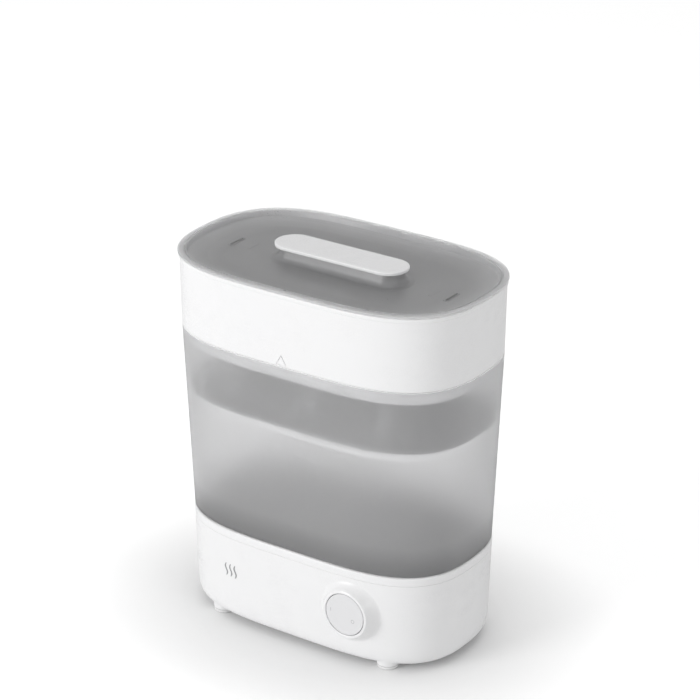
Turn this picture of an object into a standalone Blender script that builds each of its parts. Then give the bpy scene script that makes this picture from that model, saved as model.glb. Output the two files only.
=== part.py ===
"""Bottle sterilizer, closed and stacked: a steam base, a large basket with a tray in it, a small basket and a lid.

Scene units are metres and +Z is up. Lengths below are in millimetres and are turned into metres by MM.
The origin is the middle of the footprint, on the surface that the feet stand on. The front faces -Y.
"""

import math

import bmesh
import bpy
from mathutils import Matrix, Vector

MM = 0.001

# Driving dimensions.
SIDES = 40             # straight pieces round each oval
END_POWER = 3.8        # how square the oval's long ends are
SIDE_POWER = 2.6       # how square its short ends are
LEAD = 57.8            # half-length less half-depth, the same for every wall
PLATE_LEAD = 51.0      # the same for the heating plate's ovals
FEET = 6.5             # underside of the base's casing above the table
LARGE_SEAT = 93.8      # where the large basket's step rests on the base's rim
TRAY_SEAT = 211.3      # where the tray rests on the bead inside the large basket
SMALL_SEAT = 268.8     # where the small basket's step rests on the large basket's rim
LID_SEAT = 334.7       # where the lid's flange rests on the small basket's rim
RAIL_FOOT = (87.5, 57.0)
COVER_SCREW = (96.0, 30.0)
BUTTON_X, BUTTON_Z = 60.7, 53.3
BUTTON_FACE_Y = -84.0
BUTTON_RADIUS = 19.1
STEM_Z = 46.0          # the button's stem sits low, in line with the switch
INLET_Z = 30.0
FLOOR_SLOTS = [(x, y) for y in (-34.0, 0.0, 34.0) for x in (-76.0, -38.0, 0.0, 38.0, 76.0)]
BOARD_POSTS_X = (43.0, 87.0)
BOARD_POSTS_Z = 20.0

parts = None
helpers = None


def reset_scene():
    global parts, helpers
    for old in list(bpy.data.objects):
        bpy.data.objects.remove(old)
    parts = bpy.data.collections.new("bottle_sterilizer")
    helpers = bpy.data.collections.new("cutters")
    bpy.context.scene.collection.children.link(parts)
    bpy.context.scene.collection.children.link(helpers)


def finish_of(name, colour, roughness, metallic=0.0, alpha=1.0):
    material = bpy.data.materials.new(name)
    material.use_nodes = True
    shader = material.node_tree.nodes["Principled BSDF"]
    shader.inputs["Base Color"].default_value = (*colour, 1.0)
    shader.inputs["Roughness"].default_value = roughness
    shader.inputs["Metallic"].default_value = metallic
    shader.inputs["Alpha"].default_value = alpha
    return material


def softened(value, power):
    return math.copysign(abs(value) ** (2 / power), value)


def oval(bm, half_length, height, lead=LEAD):
    """One ring of the sterilizer's outline, a circle drawn out into a superellipse."""
    circle = bmesh.ops.create_circle(bm, segments=SIDES, radius=1)["verts"]
    for vertex in circle:
        vertex.co.x = half_length * softened(round(vertex.co.x, 6), END_POWER) * MM
        vertex.co.y = (half_length - lead) * softened(round(vertex.co.y, 6), SIDE_POWER) * MM
        vertex.co.z = height * MM
    return circle


def stadium(bm, half_length, half_width, height, sides=24):
    """One ring with straight sides along X and round ends."""
    turn = Matrix.Rotation(math.pi / sides, 4, "Z")
    circle = bmesh.ops.create_circle(bm, segments=sides, radius=half_width * MM, matrix=turn)["verts"]
    for vertex in circle:
        vertex.co.x += math.copysign((half_length - half_width) * MM, vertex.co.x)
        vertex.co.z = height * MM
    return circle


def edges_of(ring):
    return list({edge for vertex in ring for edge in vertex.link_edges})


def oval_loft(name, sections, lead_of=lambda half_length: LEAD, closed=False):
    """A solid through ovals given as (half-length, height). A closed one meets its own first ring."""
    path = sections + sections[:1] if closed else sections
    bm = bmesh.new()
    edges = edges_of(oval(bm, *path[0], lead_of(path[0][0])))
    if not closed:
        bmesh.ops.edgeloop_fill(bm, edges=edges)
    for (length, height), (next_length, next_height) in zip(path, path[1:]):
        made = bmesh.ops.extrude_edge_only(bm, edges=edges)["geom"]
        ring = [item for item in made if isinstance(item, bmesh.types.BMVert)]
        edges = [item for item in made if isinstance(item, bmesh.types.BMEdge)]
        depth, next_depth = length - lead_of(length), next_length - lead_of(next_length)
        bmesh.ops.scale(bm, verts=ring, vec=(next_length / length, next_depth / depth, 1))
        bmesh.ops.translate(bm, verts=ring, vec=(0, 0, (next_height - height) * MM))
    if closed:
        bmesh.ops.remove_doubles(bm, verts=bm.verts, dist=0.001 * MM)
    else:
        bmesh.ops.edgeloop_fill(bm, edges=edges)
    return place(name, bm)


def stadium_loft(name, sections):
    """A capped solid through stadiums given as (half-length, half-width, height)."""
    bm = bmesh.new()
    loops = [edges_of(stadium(bm, *section)) for section in sections]
    for first, second in zip(loops, loops[1:]):
        bmesh.ops.bridge_loops(bm, edges=first + second)
    bmesh.ops.edgeloop_fill(bm, edges=loops[0])
    bmesh.ops.edgeloop_fill(bm, edges=loops[-1])
    return place(name, bm)


def place(name, bm):
    bm.normal_update()
    bmesh.ops.recalc_face_normals(bm, faces=bm.faces[:])
    mesh = bpy.data.meshes.new(name)
    bm.to_mesh(mesh)
    bm.free()
    made = bpy.data.objects.new(name, mesh)
    parts.objects.link(made)
    return made


def box(bm, low, high):
    size = [(b - a) * MM for a, b in zip(low, high)]
    middle = [(a + b) / 2 * MM for a, b in zip(low, high)]
    matrix = Matrix.Translation(middle) @ Matrix.Diagonal((*size, 1.0))
    bmesh.ops.create_cube(bm, size=1, matrix=matrix)


def rod(bm, middle, radius, length, along="Z", top_radius=None, sides=24):
    """A cylinder or cone centred on a point. Its top is the end that points along the axis."""
    turn = {"Z": Matrix.Identity(4), "Y": Matrix.Rotation(-math.pi / 2, 4, "X")}[along]
    bmesh.ops.create_cone(
        bm, cap_ends=True, segments=sides, depth=length * MM, radius1=radius * MM,
        radius2=(radius if top_radius is None else top_radius) * MM,
        matrix=Matrix.Translation([value * MM for value in middle]) @ turn)


def hide(made):
    for collection in made.users_collection:
        collection.objects.unlink(made)
    helpers.objects.link(made)
    made.hide_render = True
    made.display_type = "WIRE"
    return made


def combine(target, other, operation):
    modifier = target.modifiers.new(other.name, "BOOLEAN")
    modifier.operation = operation
    modifier.object = hide(other)
    other.parent = target


def cut(target, other):
    combine(target, other, "DIFFERENCE")


def join(target, other):
    combine(target, other, "UNION")


def solid(name, build):
    bm = bmesh.new()
    build(bm)
    return place(name, bm)


def each_corner(point):
    return [(point[0] * side, point[1] * end) for side in (-1, 1) for end in (-1, 1)]


def slot_rows(bm, spots, half_length, half_width, low, high):
    """Upright prisms for slots, all in one helper mesh."""
    for x, y in spots:
        rings = [stadium(bm, half_length, half_width, height, 8) for height in (low, high)]
        for ring in rings:
            bmesh.ops.translate(bm, verts=ring, vec=(x * MM, y * MM, 0))
        loops = [edges_of(ring) for ring in rings]
        bmesh.ops.bridge_loops(bm, edges=loops[0] + loops[1])
        bmesh.ops.edgeloop_fill(bm, edges=loops[0])
        bmesh.ops.edgeloop_fill(bm, edges=loops[1])


def base_housing():
    shell = oval_loft("base_housing", [
        (119.2, FEET), (123.0, FEET), (128.5, 8.6), (132.3, 12.6), (134.4, 18.5), (134.9, 25.0),
        (136.45, 85.55), (133.9, 85.55), (133.8, 88.6), (132.8, 88.6), (132.5, 60.0), (132.4, 25.0),
        (132.0, 19.3), (130.4, 14.4), (127.2, 10.9), (122.6, 8.9), (119.2, 8.9)], closed=True)

    def bosses(bm):
        for x, y in each_corner(RAIL_FOOT):
            rod(bm, (x, y, 8.6), 8.2, 10.8, top_radius=9.4)

    def bezel(bm):
        rod(bm, (BUTTON_X, -79.05, BUTTON_Z), 22.2, 10.5, along="Y", top_radius=29.0, sides=40)

    def board_posts(bm):
        for x, start in zip(BOARD_POSTS_X, (-75.0, -69.2)):
            rod(bm, (x, (start - 61.9) / 2, BOARD_POSTS_Z), 3.0, -61.9 - start, along="Y", sides=12)

    def openings(bm):
        for x in BOARD_POSTS_X:
            rod(bm, (x, -63.9, BOARD_POSTS_Z), 1.55, 6.0, along="Y", sides=10)
        box(bm, (BUTTON_X - 22.8, -76.4, STEM_Z - 3.3), (BUTTON_X + 22.8, -70.0, STEM_Z + 3.3))
        box(bm, (-11.3, 70.0, INLET_Z - 6.3), (11.3, 90.0, INLET_Z + 6.3))

    def button_bore(bm):
        rod(bm, (BUTTON_X, -80.0, BUTTON_Z), BUTTON_RADIUS + 0.4, 24.0, along="Y", sides=40)

    join(shell, solid("foot_bosses", bosses))
    join(shell, solid("button_bezel", bezel))
    cut(shell, oval_loft("cover_space", [(119.5, FEET - 0.3), (119.5, 9.05), (122.0, 9.05), (122.0, 24.0)]))
    cut(shell, oval_loft("inner_space", [(131.9, 28.0), (131.9, 84.0)]))
    join(shell, solid("board_posts", board_posts))
    cut(shell, solid("housing_openings", openings))
    cut(shell, solid("button_bore", button_bore))
    return shell


def water_bowl():
    bowl = oval_loft("water_bowl", [
        (136.55, 85.9), (136.7, 89.6), (136.2, 91.8), (135.1, 93.0), (133.5, 93.5), (131.9, 93.0),
        (130.8, 91.8), (130.3, 89.6), (129.3, 76.0), (126.6, 66.0), (120.5, 58.2), (112.0, 54.4),
        (100.0, 53.0), (97.3, 53.2), (95.4, 54.9), (93.2, 55.3), (90.6, 54.4),
        (87.4, 50.2), (84.6, 47.4), (80.2, 47.4), (80.2, 45.4), (88.0, 45.4), (92.5, 50.6),
        (98.5, 50.8), (112.6, 52.2), (121.9, 56.3), (128.7, 65.2), (131.4, 75.6),
        (132.3, 89.0), (134.25, 89.0), (134.25, 85.9)], bowl_lead, closed=True)

    def posts(bm):
        for x, y in each_corner(COVER_SCREW):
            rod(bm, (x, y, 33.3), 4.0, 38.0, sides=12)
        for y in (-40.0, 40.0):
            rod(bm, (0.0, y, 46.6), 4.0, 11.4, sides=12)

    def pilots(bm):
        for x, y in each_corner(COVER_SCREW):
            rod(bm, (x, y, 22.0), 1.85, 20.0, sides=10)
        for y in (-40.0, 40.0):
            rod(bm, (0.0, y, 43.0), 1.85, 10.0, sides=10)

    join(bowl, solid("bowl_posts", posts))
    cut(bowl, solid("bowl_pilots", pilots))
    return bowl


def bowl_lead(half_length):
    """The bowl's ovals follow the wall outside and the heating plate inside."""
    near_plate = min(max((112.0 - half_length) / 14.0, 0.0), 1.0)
    return LEAD + (PLATE_LEAD - LEAD) * near_plate


def bottom_cover():
    cover = oval_loft("bottom_cover", [
        (112.5, 8.9), (113.6, 6.8), (118.9, 6.8), (118.9, 9.4), (121.3, 9.4), (121.3, 11.0)])

    def bosses(bm):
        for x, y in each_corner(COVER_SCREW):
            rod(bm, (x, y, 11.6), 5.4, 4.8, sides=16)

    def counterbores(bm):
        for x, y in each_corner(COVER_SCREW):
            rod(bm, (x, y, 8.1), 3.8, 5.6, sides=16)

    def holes(bm):
        for x, y in each_corner(COVER_SCREW):
            rod(bm, (x, y, 12.0), 1.95, 6.0, sides=12)
        for step in range(-4, 5):
            box(bm, (step * 9.0 - 1.5, -14.0, 6.0), (step * 9.0 + 1.5, 14.0, 14.0))

    join(cover, solid("cover_bosses", bosses))
    cut(cover, solid("cover_counterbores", counterbores))
    cut(cover, solid("cover_holes", holes))
    return cover


def screw(name, head, tip, along="Z", head_radius=3.3, shank_radius=1.5):
    """A pan-head screw from the middle of its outer face to its tip, the shank joined to the head."""
    head, tip = Vector(head), Vector(tip)
    way = (tip - head).normalized()
    made = solid(name, lambda bm: rod(bm, head + way * 1.15, head_radius, 2.3, along, sides=16))
    shank_start = head + way * 1.9
    shank = solid(name + "_shank", lambda bm: rod(
        bm, (shank_start + tip) / 2, shank_radius, (tip - shank_start).length, along, sides=10))
    join(made, shank)
    return made


def feet_and_screws():
    corners = ("rear_left", "rear_right", "front_left", "front_right")
    signs = ((-1, 1), (1, 1), (-1, -1), (1, -1))
    made = []
    for corner, (side, end) in zip(corners, signs):
        foot_x, foot_y = RAIL_FOOT[0] * side, RAIL_FOOT[1] * end
        foot = solid("foot_" + corner, lambda bm: rod(bm, (foot_x, foot_y, 1.45), 7.4, 2.9))
        screw_x, screw_y = COVER_SCREW[0] * side, COVER_SCREW[1] * end
        fixing = screw("cover_screw_" + corner, (screw_x, screw_y, 8.4), (screw_x, screw_y, 30.0))
        made.append((foot, fixing))
    return made


def heater():
    plate = oval_loft("heating_plate", [
        (84.0, 49.0), (84.2, 49.5), (84.0, 50.4), (82.6, 50.5), (79.5, 50.0)], bowl_lead)
    seal = oval_loft("plate_seal", [(83.8, 47.7), (83.8, 48.7), (81.0, 48.7), (81.0, 47.7)],
                     bowl_lead, closed=True)
    return plate, seal


def smooth_route(points, steps=3):
    """A Catmull-Rom curve through the points, ends included."""
    route = [Vector(point) for point in points]
    padded = [route[0] * 2 - route[1]] + route + [route[-1] * 2 - route[-2]]
    smooth = []
    for a, b, c, d in zip(padded, padded[1:], padded[2:], padded[3:]):
        for step in range(steps):
            t = step / steps
            smooth.append(0.5 * (2 * b + (c - a) * t + (2 * a - 5 * b + 4 * c - d) * t ** 2
                                 + (3 * b - a - 3 * c + d) * t ** 3))
    return smooth + [route[-1]]


def tube(name, points, radius):
    curve = bpy.data.curves.new(name, "CURVE")
    curve.dimensions = "3D"
    curve.bevel_depth = radius * MM
    curve.bevel_resolution = 2
    curve.use_fill_caps = True
    spline = curve.splines.new("POLY")
    spline.points.add(len(points) - 1)
    for made, point in zip(spline.points, points):
        made.co = (point[0] * MM, point[1] * MM, point[2] * MM, 1.0)
    made = bpy.data.objects.new(name, curve)
    parts.objects.link(made)
    return made


def heating_element():
    """A tubular element bent into a long U under the plate, with both ends turned down."""
    half_width, reach, height = 17.0, 45.0, 45.3
    bend = [(reach + half_width * math.sin(angle), -half_width * math.cos(angle), height)
            for angle in (math.pi * step / 10 for step in range(11))]
    ends = [(-56.0, half_width, 32.0), (-56.0, half_width, 38.0), (-54.6, half_width, 42.8),
            (-50.0, half_width, height)]
    lead_in = [(x, -y, z) for x, y, z in ends]
    return tube("heating_element", lead_in + bend + ends[::-1], 3.2)


def thermostat():
    body = solid("thermostat", lambda bm: rod(bm, (0.0, 0.0, 45.2), 8.0, 7.0))

    def tabs(bm):
        for x in (-5.0, 5.0):
            box(bm, (x - 0.4, -3.0, 36.0), (x + 0.4, 3.0, 42.5))

    join(body, solid("thermostat_tabs", tabs))
    return body


def thermostat_bracket():
    bracket = solid("thermostat_bracket", lambda bm: box(bm, (-9.0, -45.0, 39.7), (9.0, 45.0, 40.6)))

    def openings(bm):
        box(bm, (-6.5, -5.0, 38.0), (6.5, 5.0, 42.0))
        for y in (-40.0, 40.0):
            rod(bm, (0.0, y, 40.0), 1.95, 4.0, sides=12)

    def seat(bm):
        for x in (-8.2, 8.2):
            box(bm, (x - 0.6, -6.0, 40.0), (x + 0.6, 6.0, 41.4))

    join(bracket, solid("bracket_seat", seat))
    cut(bracket, solid("bracket_openings", openings))
    return bracket


def thermal_fuse():
    return solid("thermal_fuse", lambda bm: rod(bm, (24.0, 0.0, 46.4), 2.2, 16.0, along="Y", sides=16))


def control_board():
    board = solid("control_board", lambda bm: box(bm, (38.0, -61.6, 15.5), (91.0, -60.0, 49.6)))

    def components(bm):
        box(bm, (72.0, -60.4, 26.0), (88.0, -46.0, 42.0))
        rod(bm, (64.0, -53.4, 33.0), 5.0, 14.4, along="Y", sides=16)
        box(bm, (42.0, -60.4, 24.0), (52.0, -52.0, 32.0))

    def holes(bm):
        for x in BOARD_POSTS_X:
            rod(bm, (x, -60.8, BOARD_POSTS_Z), 1.6, 6.0, along="Y", sides=10)

    join(board, solid("board_components", components))
    cut(board, solid("board_holes", holes))
    return board


def button_switch():
    return solid("button_switch", lambda bm: box(
        bm, (BUTTON_X - 4, -64.0, STEM_Z - 3.4), (BUTTON_X + 4, -61.9, STEM_Z + 3.4)))


def power_button():
    button = loft_button()

    def stem(bm):
        rod(bm, (BUTTON_X, -71.9, STEM_Z), 3.0, 11.4, along="Y", sides=16)

    def stop_bar(bm):
        box(bm, (BUTTON_X - 22.2, -76.1, STEM_Z - 2.8), (BUTTON_X + 22.2, -74.4, STEM_Z + 2.8))

    def bridge(bm):
        box(bm, (BUTTON_X - 12.0, -78.0, STEM_Z - 2.4), (BUTTON_X + 12.0, -75.0, STEM_Z + 2.4))

    join(button, solid("button_stem", stem))
    join(button, solid("button_bridge", bridge))
    join(button, solid("button_stop_bar", stop_bar))
    return button


def loft_button():
    """The button's cap: a disc with a rounded front edge, facing -Y."""
    bm = bmesh.new()
    sections = ((0.0, 18.1), (0.25, 18.75), (1.0, BUTTON_RADIUS), (6.4, BUTTON_RADIUS))
    loops = []
    for depth, radius in sections:
        middle = Vector((BUTTON_X, BUTTON_FACE_Y + depth, BUTTON_Z)) * MM
        matrix = Matrix.Translation(middle) @ Matrix.Rotation(-math.pi / 2, 4, "X")
        loops.append(edges_of(bmesh.ops.create_circle(
            bm, segments=40, radius=radius * MM, matrix=matrix)["verts"]))
    for first, second in zip(loops, loops[1:]):
        bmesh.ops.bridge_loops(bm, edges=first + second)
    bmesh.ops.edgeloop_fill(bm, edges=loops[0])
    bmesh.ops.edgeloop_fill(bm, edges=loops[-1])
    return place("power_button", bm)


def mains_inlet():
    """A two-pin appliance inlet set in the rear wall."""
    inlet = solid("mains_inlet", lambda bm: box(
        bm, (-11.0, 58.0, INLET_Z - 6.0), (11.0, 79.0, INLET_Z + 6.0)))

    def flange(bm):
        box(bm, (-14.0, 77.9, INLET_Z - 9.0), (14.0, 79.6, INLET_Z + 9.0))

    def middle(bm):
        box(bm, (-4.0, 63.3, INLET_Z - 3.4), (4.0, 83.0, INLET_Z + 3.4))

    def pins(bm):
        for x in (-4.3, 4.3):
            rod(bm, (x, 69.0, INLET_Z), 1.2, 14.0, along="Y", sides=10)

    join(inlet, solid("inlet_flange", flange))
    for side in (-4.0, 4.0):
        cut(inlet, solid("inlet_recess", lambda bm: rod(
            bm, (side, 73.0, INLET_Z), 4.2, 20.0, along="Y", sides=16)))
    cut(inlet, solid("inlet_middle", middle))
    join(inlet, solid("inlet_pins", pins))
    return inlet


def wires():
    routes = {
        "wire_live": [(5.0, 57.7, 28.0), (5.0, 48.0, 26.0), (20.0, 20.0, 20.0), (40.0, -20.0, 19.0),
                      (47.0, -44.0, 27.0), (47.0, -51.6, 28.0)],
        "wire_neutral": [(-5.0, 57.7, 28.0), (-8.0, 46.0, 25.0), (-34.0, 28.0, 22.0), (-55.0, 17.0, 25.0),
                         (-56.0, 17.0, 31.3)],
        "wire_element": [(-56.0, -17.0, 31.3), (-55.0, -19.0, 24.0), (-20.0, -36.0, 19.0),
                         (24.0, -42.0, 26.0), (58.0, -36.0, 33.0), (64.0, -45.7, 33.0)],
    }
    return [tube(name, smooth_route(points), 1.2) for name, points in routes.items()]


def large_basket():
    basket = oval_loft("large_basket", [
        (121.6, -2.5), (123.2, -16.6), (125.4, -16.6), (126.0, -15.8), (127.4, -0.2), (133.6, 0.0),
        (135.6, 0.9), (136.4, 3.0), (142.8, 173.6), (142.3, 174.6), (141.7, 174.6), (141.3, 173.6),
        (139.9, 160.0), (138.7, 122.0), (138.5, 117.2), (136.8, 117.0), (136.8, 114.0), (138.1, 111.0),
        (134.2, 5.4), (132.6, 2.6), (127.6, 1.8), (124.8, -0.4)])

    def slots(bm):
        slot_rows(bm, FLOOR_SLOTS, 14.0, 4.0, -6.0, 4.0)

    def notches(bm):
        for side in (-1, 1):
            y = side * 68.0
            box(bm, (-43.0, y - 12.0, -20.0), (43.0, y + 12.0, -12.8))

    cut(basket, solid("large_basket_slots", slots))
    cut(basket, solid("large_basket_notches", notches))
    basket.location.z = LARGE_SEAT * MM
    return basket


def bottle_tray():
    tray = oval_loft("bottle_tray", [
        (137.5, 0.0), (138.0, 0.5), (138.0, 2.9), (137.5, 3.4), (136.0, 3.4), (135.2, 2.3)])
    places = [(x, y) for y in (-40.0, 40.0) for x in (-76.0, 0.0, 76.0)]

    def cones(bm):
        for x, y in places:
            rod(bm, (x, y, 14.4), 11.6, 25.6, top_radius=7.9, sides=16)

    def hollows(bm):
        for x, y in places:
            rod(bm, (x, y, 13.0), 9.8, 32.0, top_radius=6.0, sides=16)

    def holes(bm):
        steps = 18
        for step in range(steps):
            angle = 2 * math.pi * (step + 0.5) / steps
            x = 122.0 * softened(math.cos(angle), END_POWER)
            y = 64.0 * softened(math.sin(angle), SIDE_POWER)
            rod(bm, (x, y, 1.0), 3.0, 8.0, sides=6)

    join(tray, solid("tray_cones", cones))
    cut(tray, solid("tray_hollows", hollows))
    cut(tray, solid("tray_holes", holes))
    tray.location.z = TRAY_SEAT * MM
    return tray


def small_basket():
    basket = oval_loft("small_basket", [
        (134.6, -14.1), (137.2, -13.5), (138.6, -11.4), (141.0, -0.1), (142.1, 0.0), (142.8, 1.0),
        (143.7, 61.4), (144.2, 62.0), (144.3, 64.5), (143.7, 65.5), (142.5, 65.6), (141.8, 64.8),
        (141.5, 61.4), (140.7, 3.0), (139.0, 0.0), (136.4, -10.2), (134.2, -12.0)])

    def slots(bm):
        slot_rows(bm, FLOOR_SLOTS, 14.0, 4.0, -18.0, -8.0)

    cut(basket, solid("small_basket_slots", slots))
    basket.location.z = SMALL_SEAT * MM
    return basket


def lid():
    shell = oval_loft("lid_shell", [
        (106.0, -8.5), (117.0, -8.2), (125.0, -7.3), (135.0, -6.1), (138.2, -5.3), (139.6, -3.4),
        (140.4, 0.0), (144.4, 0.0), (145.0, 0.7), (145.0, 1.5), (144.4, 2.1), (139.9, 2.1),
        (139.2, 1.1), (137.7, 1.0), (137.0, -2.0), (135.2, -3.4), (131.0, -4.3), (125.0, -5.3),
        (117.0, -6.2), (106.0, -6.5)])
    pedestal = stadium_loft("lid_pedestal", [
        (69.0, 21.0, -7.4), (66.0, 18.0, -6.2), (62.4, 14.4, -3.6), (60.8, 12.8, 0.0), (60.0, 12.0, 4.8)])
    hollow = stadium_loft("pedestal_hollow", [(62.0, 14.0, -12.0), (57.6, 9.6, -2.0), (57.6, 9.6, 2.6)])

    def openings(bm):
        for x in (-110.0, 110.0):
            box(bm, (x - 1.3, -9.5, -14.0), (x + 1.3, 9.5, 4.0))
        for x in (-35.0, 35.0):
            rod(bm, (x, 0.0, 4.0), 3.4, 8.0, sides=12)

    join(shell, pedestal)
    cut(shell, hollow)
    cut(shell, solid("lid_openings", openings))
    handle = stadium_loft("lid_handle", [
        (65.0, 17.0, 5.1), (65.5, 17.5, 5.7), (65.5, 17.5, 7.0), (64.9, 16.9, 7.9), (63.6, 15.6, 8.1)])

    def posts(bm):
        for x in (-35.0, 35.0):
            rod(bm, (x, 0.0, 2.8), 3.0, 6.0, sides=12)

    join(handle, solid("handle_posts", posts))
    shell.location.z = LID_SEAT * MM
    handle.location.z = LID_SEAT * MM
    return shell, handle


def finishes():
    return {
        "white": finish_of("white_plastic", (0.93, 0.93, 0.93), 0.42),
        "bowl": finish_of("bowl_plastic", (0.88, 0.88, 0.89), 0.4),
        "frosted": finish_of("frosted_plastic", (0.80, 0.80, 0.81), 0.5, alpha=0.6),
        "tray": finish_of("grey_plastic", (0.21, 0.21, 0.22), 0.5),
        "plate": finish_of("coated_plate", (0.10, 0.10, 0.105), 0.35, metallic=0.3),
        "steel": finish_of("steel", (0.62, 0.62, 0.63), 0.3, metallic=1.0),
        "rubber": finish_of("foot_rubber", (0.85, 0.85, 0.85), 0.7),
        "silicone": finish_of("silicone", (0.45, 0.45, 0.46), 0.6),
        "black": finish_of("black_plastic", (0.03, 0.03, 0.03), 0.4),
        "board": finish_of("circuit_board", (0.05, 0.22, 0.10), 0.5),
        "wire": finish_of("wire_insulation", (0.75, 0.75, 0.75), 0.5),
    }


def pivot(name, parent, height):
    """An empty on a joint's axis, at the height of the seat that the piece lifts off."""
    empty = bpy.data.objects.new(name, None)
    helpers.objects.link(empty)
    empty.location.z = height * MM
    empty.empty_display_size = 0.03
    if parent:
        empty.parent = parent
        empty.location.z -= parent.matrix_world.translation.z
    bpy.context.view_layer.update()
    return empty


def hold(empty, *pieces):
    for piece in pieces:
        place_in_world = piece.matrix_world.copy()
        piece.parent = empty
        piece.matrix_parent_inverse = empty.matrix_world.inverted()
        piece.matrix_world = place_in_world


def paint(material, *pieces):
    for piece in pieces:
        piece.data.materials.clear()
        piece.data.materials.append(material)
        if piece.type == "MESH":
            piece.data.shade_smooth()
            piece.data.set_sharp_from_angle(angle=math.radians(32))


def build():
    reset_scene()
    colours = finishes()
    housing, bowl, cover = base_housing(), water_bowl(), bottom_cover()
    paint(colours["white"], housing, cover)
    paint(colours["bowl"], bowl)
    for foot, fixing in feet_and_screws():
        paint(colours["rubber"], foot)
        paint(colours["steel"], fixing)
    plate, seal = heater()
    paint(colours["plate"], plate)
    paint(colours["silicone"], seal)
    bracket_screws = [screw("bracket_screw_" + name, (0.0, y, 37.1), (0.0, y, 46.0))
                      for name, y in (("front", -40.0), ("rear", 40.0))]
    board_screws = [screw("board_screw_" + name, (x, -57.4, BOARD_POSTS_Z), (x, -66.0, BOARD_POSTS_Z),
                          "Y", 2.6, 1.25) for name, x in zip(("left", "right"), BOARD_POSTS_X)]
    paint(colours["steel"], heating_element(), thermostat_bracket(),
          *bracket_screws, *board_screws)
    paint(colours["black"], thermostat(), thermal_fuse(), button_switch(), mains_inlet())
    paint(colours["board"], control_board())
    paint(colours["wire"], *wires())

    button = power_button()
    large, tray, small = large_basket(), bottle_tray(), small_basket()
    shell, handle = lid()
    paint(colours["white"], button, small, handle)
    paint(colours["frosted"], large, shell)
    paint(colours["tray"], tray)

    bpy.context.view_layer.update()
    lift_large = pivot("lift_large_basket", None, LARGE_SEAT)
    lift_tray = pivot("lift_bottle_tray", lift_large, TRAY_SEAT)
    lift_small = pivot("lift_small_basket", lift_large, SMALL_SEAT)
    lift_lid = pivot("lift_lid", lift_small, LID_SEAT)
    press = pivot("press_power_button", None, BUTTON_Z)
    press.location.x, press.location.y = BUTTON_X * MM, BUTTON_FACE_Y * MM
    bpy.context.view_layer.update()
    hold(lift_large, large)
    hold(lift_tray, tray)
    hold(lift_small, small)
    hold(lift_lid, shell, handle)
    hold(press, button)


build()
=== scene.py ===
import math

import bmesh
import bpy
from mathutils import Matrix, Vector


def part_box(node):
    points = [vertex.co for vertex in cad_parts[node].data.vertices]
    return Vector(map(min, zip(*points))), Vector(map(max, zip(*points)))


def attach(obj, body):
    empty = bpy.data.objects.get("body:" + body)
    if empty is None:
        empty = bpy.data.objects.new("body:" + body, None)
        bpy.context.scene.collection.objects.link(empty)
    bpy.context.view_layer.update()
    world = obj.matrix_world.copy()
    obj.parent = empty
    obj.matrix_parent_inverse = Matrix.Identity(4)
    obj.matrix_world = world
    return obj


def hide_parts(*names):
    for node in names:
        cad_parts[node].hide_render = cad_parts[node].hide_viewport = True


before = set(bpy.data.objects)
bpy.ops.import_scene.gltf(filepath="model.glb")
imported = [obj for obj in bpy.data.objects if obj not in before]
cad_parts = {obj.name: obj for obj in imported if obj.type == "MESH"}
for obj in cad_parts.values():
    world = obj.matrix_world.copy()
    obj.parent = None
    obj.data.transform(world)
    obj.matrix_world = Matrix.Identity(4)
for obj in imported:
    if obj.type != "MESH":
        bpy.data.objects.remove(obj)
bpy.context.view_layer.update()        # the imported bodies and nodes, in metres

mm = 0.001               # every size below is in millimetres unless it says otherwise
weldGap = 0.0005         # vertices closer than this are one
sharpAngle = 38          # degrees; edges over this stay sharp


# the oval that every wall follows

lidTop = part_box("lid_shell")[1] / mm
outline = {
    "sides": 160,                    # straight pieces round an oval
    "endPower": 3.8,                 # how square the long ends are
    "sidePower": 2.6,                # how square the short ends are
    "lead": lidTop.x - lidTop.y,     # half-length less half-depth
    "plateLead": 51.0,               # the same for the ovals round the heating plate
    "longestStep": 14.0,             # walls get a ring at least this often
    "cornerSteps": 5,                # pieces in a rounded corner
}

# how far each piece reaches below the height it rests at
drops = {"basket": 16.6, "small": 14.1, "lid": 8.5}
seats = {
    "basket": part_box("large_basket")[0].z / mm + drops["basket"],
    "tray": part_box("bottle_tray")[0].z / mm,
    "small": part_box("small_basket")[0].z / mm + drops["small"],
    "lid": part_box("lid_shell")[0].z / mm + drops["lid"],
}


def soften(value, power):
    return math.copysign(abs(value) ** (2 / power), value)


def plainLead(halfLength):
    return outline["lead"]


def bowlLead(halfLength):
    # the bowl's ovals follow the wall outside and the heating plate inside
    nearPlate = min(max((112.0 - halfLength) / 14.0, 0.0), 1.0)
    return outline["lead"] + (outline["plateLead"] - outline["lead"]) * nearPlate


def ovalDepth(halfLength, x):
    # how far the oval stands from the middle line at this x
    share = 1 - abs(x / halfLength) ** outline["endPower"]
    return (halfLength - outline["lead"]) * share ** (1 / outline["sidePower"])


def roundCorners(profile, closed):
    # profile points are (length, height) or (length, height, corner radius)
    path = []
    last = len(profile) - 1
    for index, point in enumerate(profile):
        here = Vector(point[:2])
        radius = point[2] if len(point) > 2 else 0
        if radius == 0 or (not closed and index in (0, last)):
            path.append(here)
            continue
        before = Vector(profile[index - 1][:2]) - here
        after = Vector(profile[(index + 1) % len(profile)][:2]) - here
        reach = radius / math.tan(before.angle(after) / 2)
        start = here + before.normalized() * min(reach, 0.49 * before.length)
        end = here + after.normalized() * min(reach, 0.49 * after.length)
        for step in range(outline["cornerSteps"] + 1):
            t = step / outline["cornerSteps"]
            path.append(start.lerp(here, t).lerp(here.lerp(end, t), t))
    return path


def fillLongRuns(path):
    filled = path[:1]
    for first, second in zip(path, path[1:]):
        steps = math.ceil((second - first).length / outline["longestStep"])
        filled += [first.lerp(second, (step + 1) / steps) for step in range(steps)]
    return filled


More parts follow.
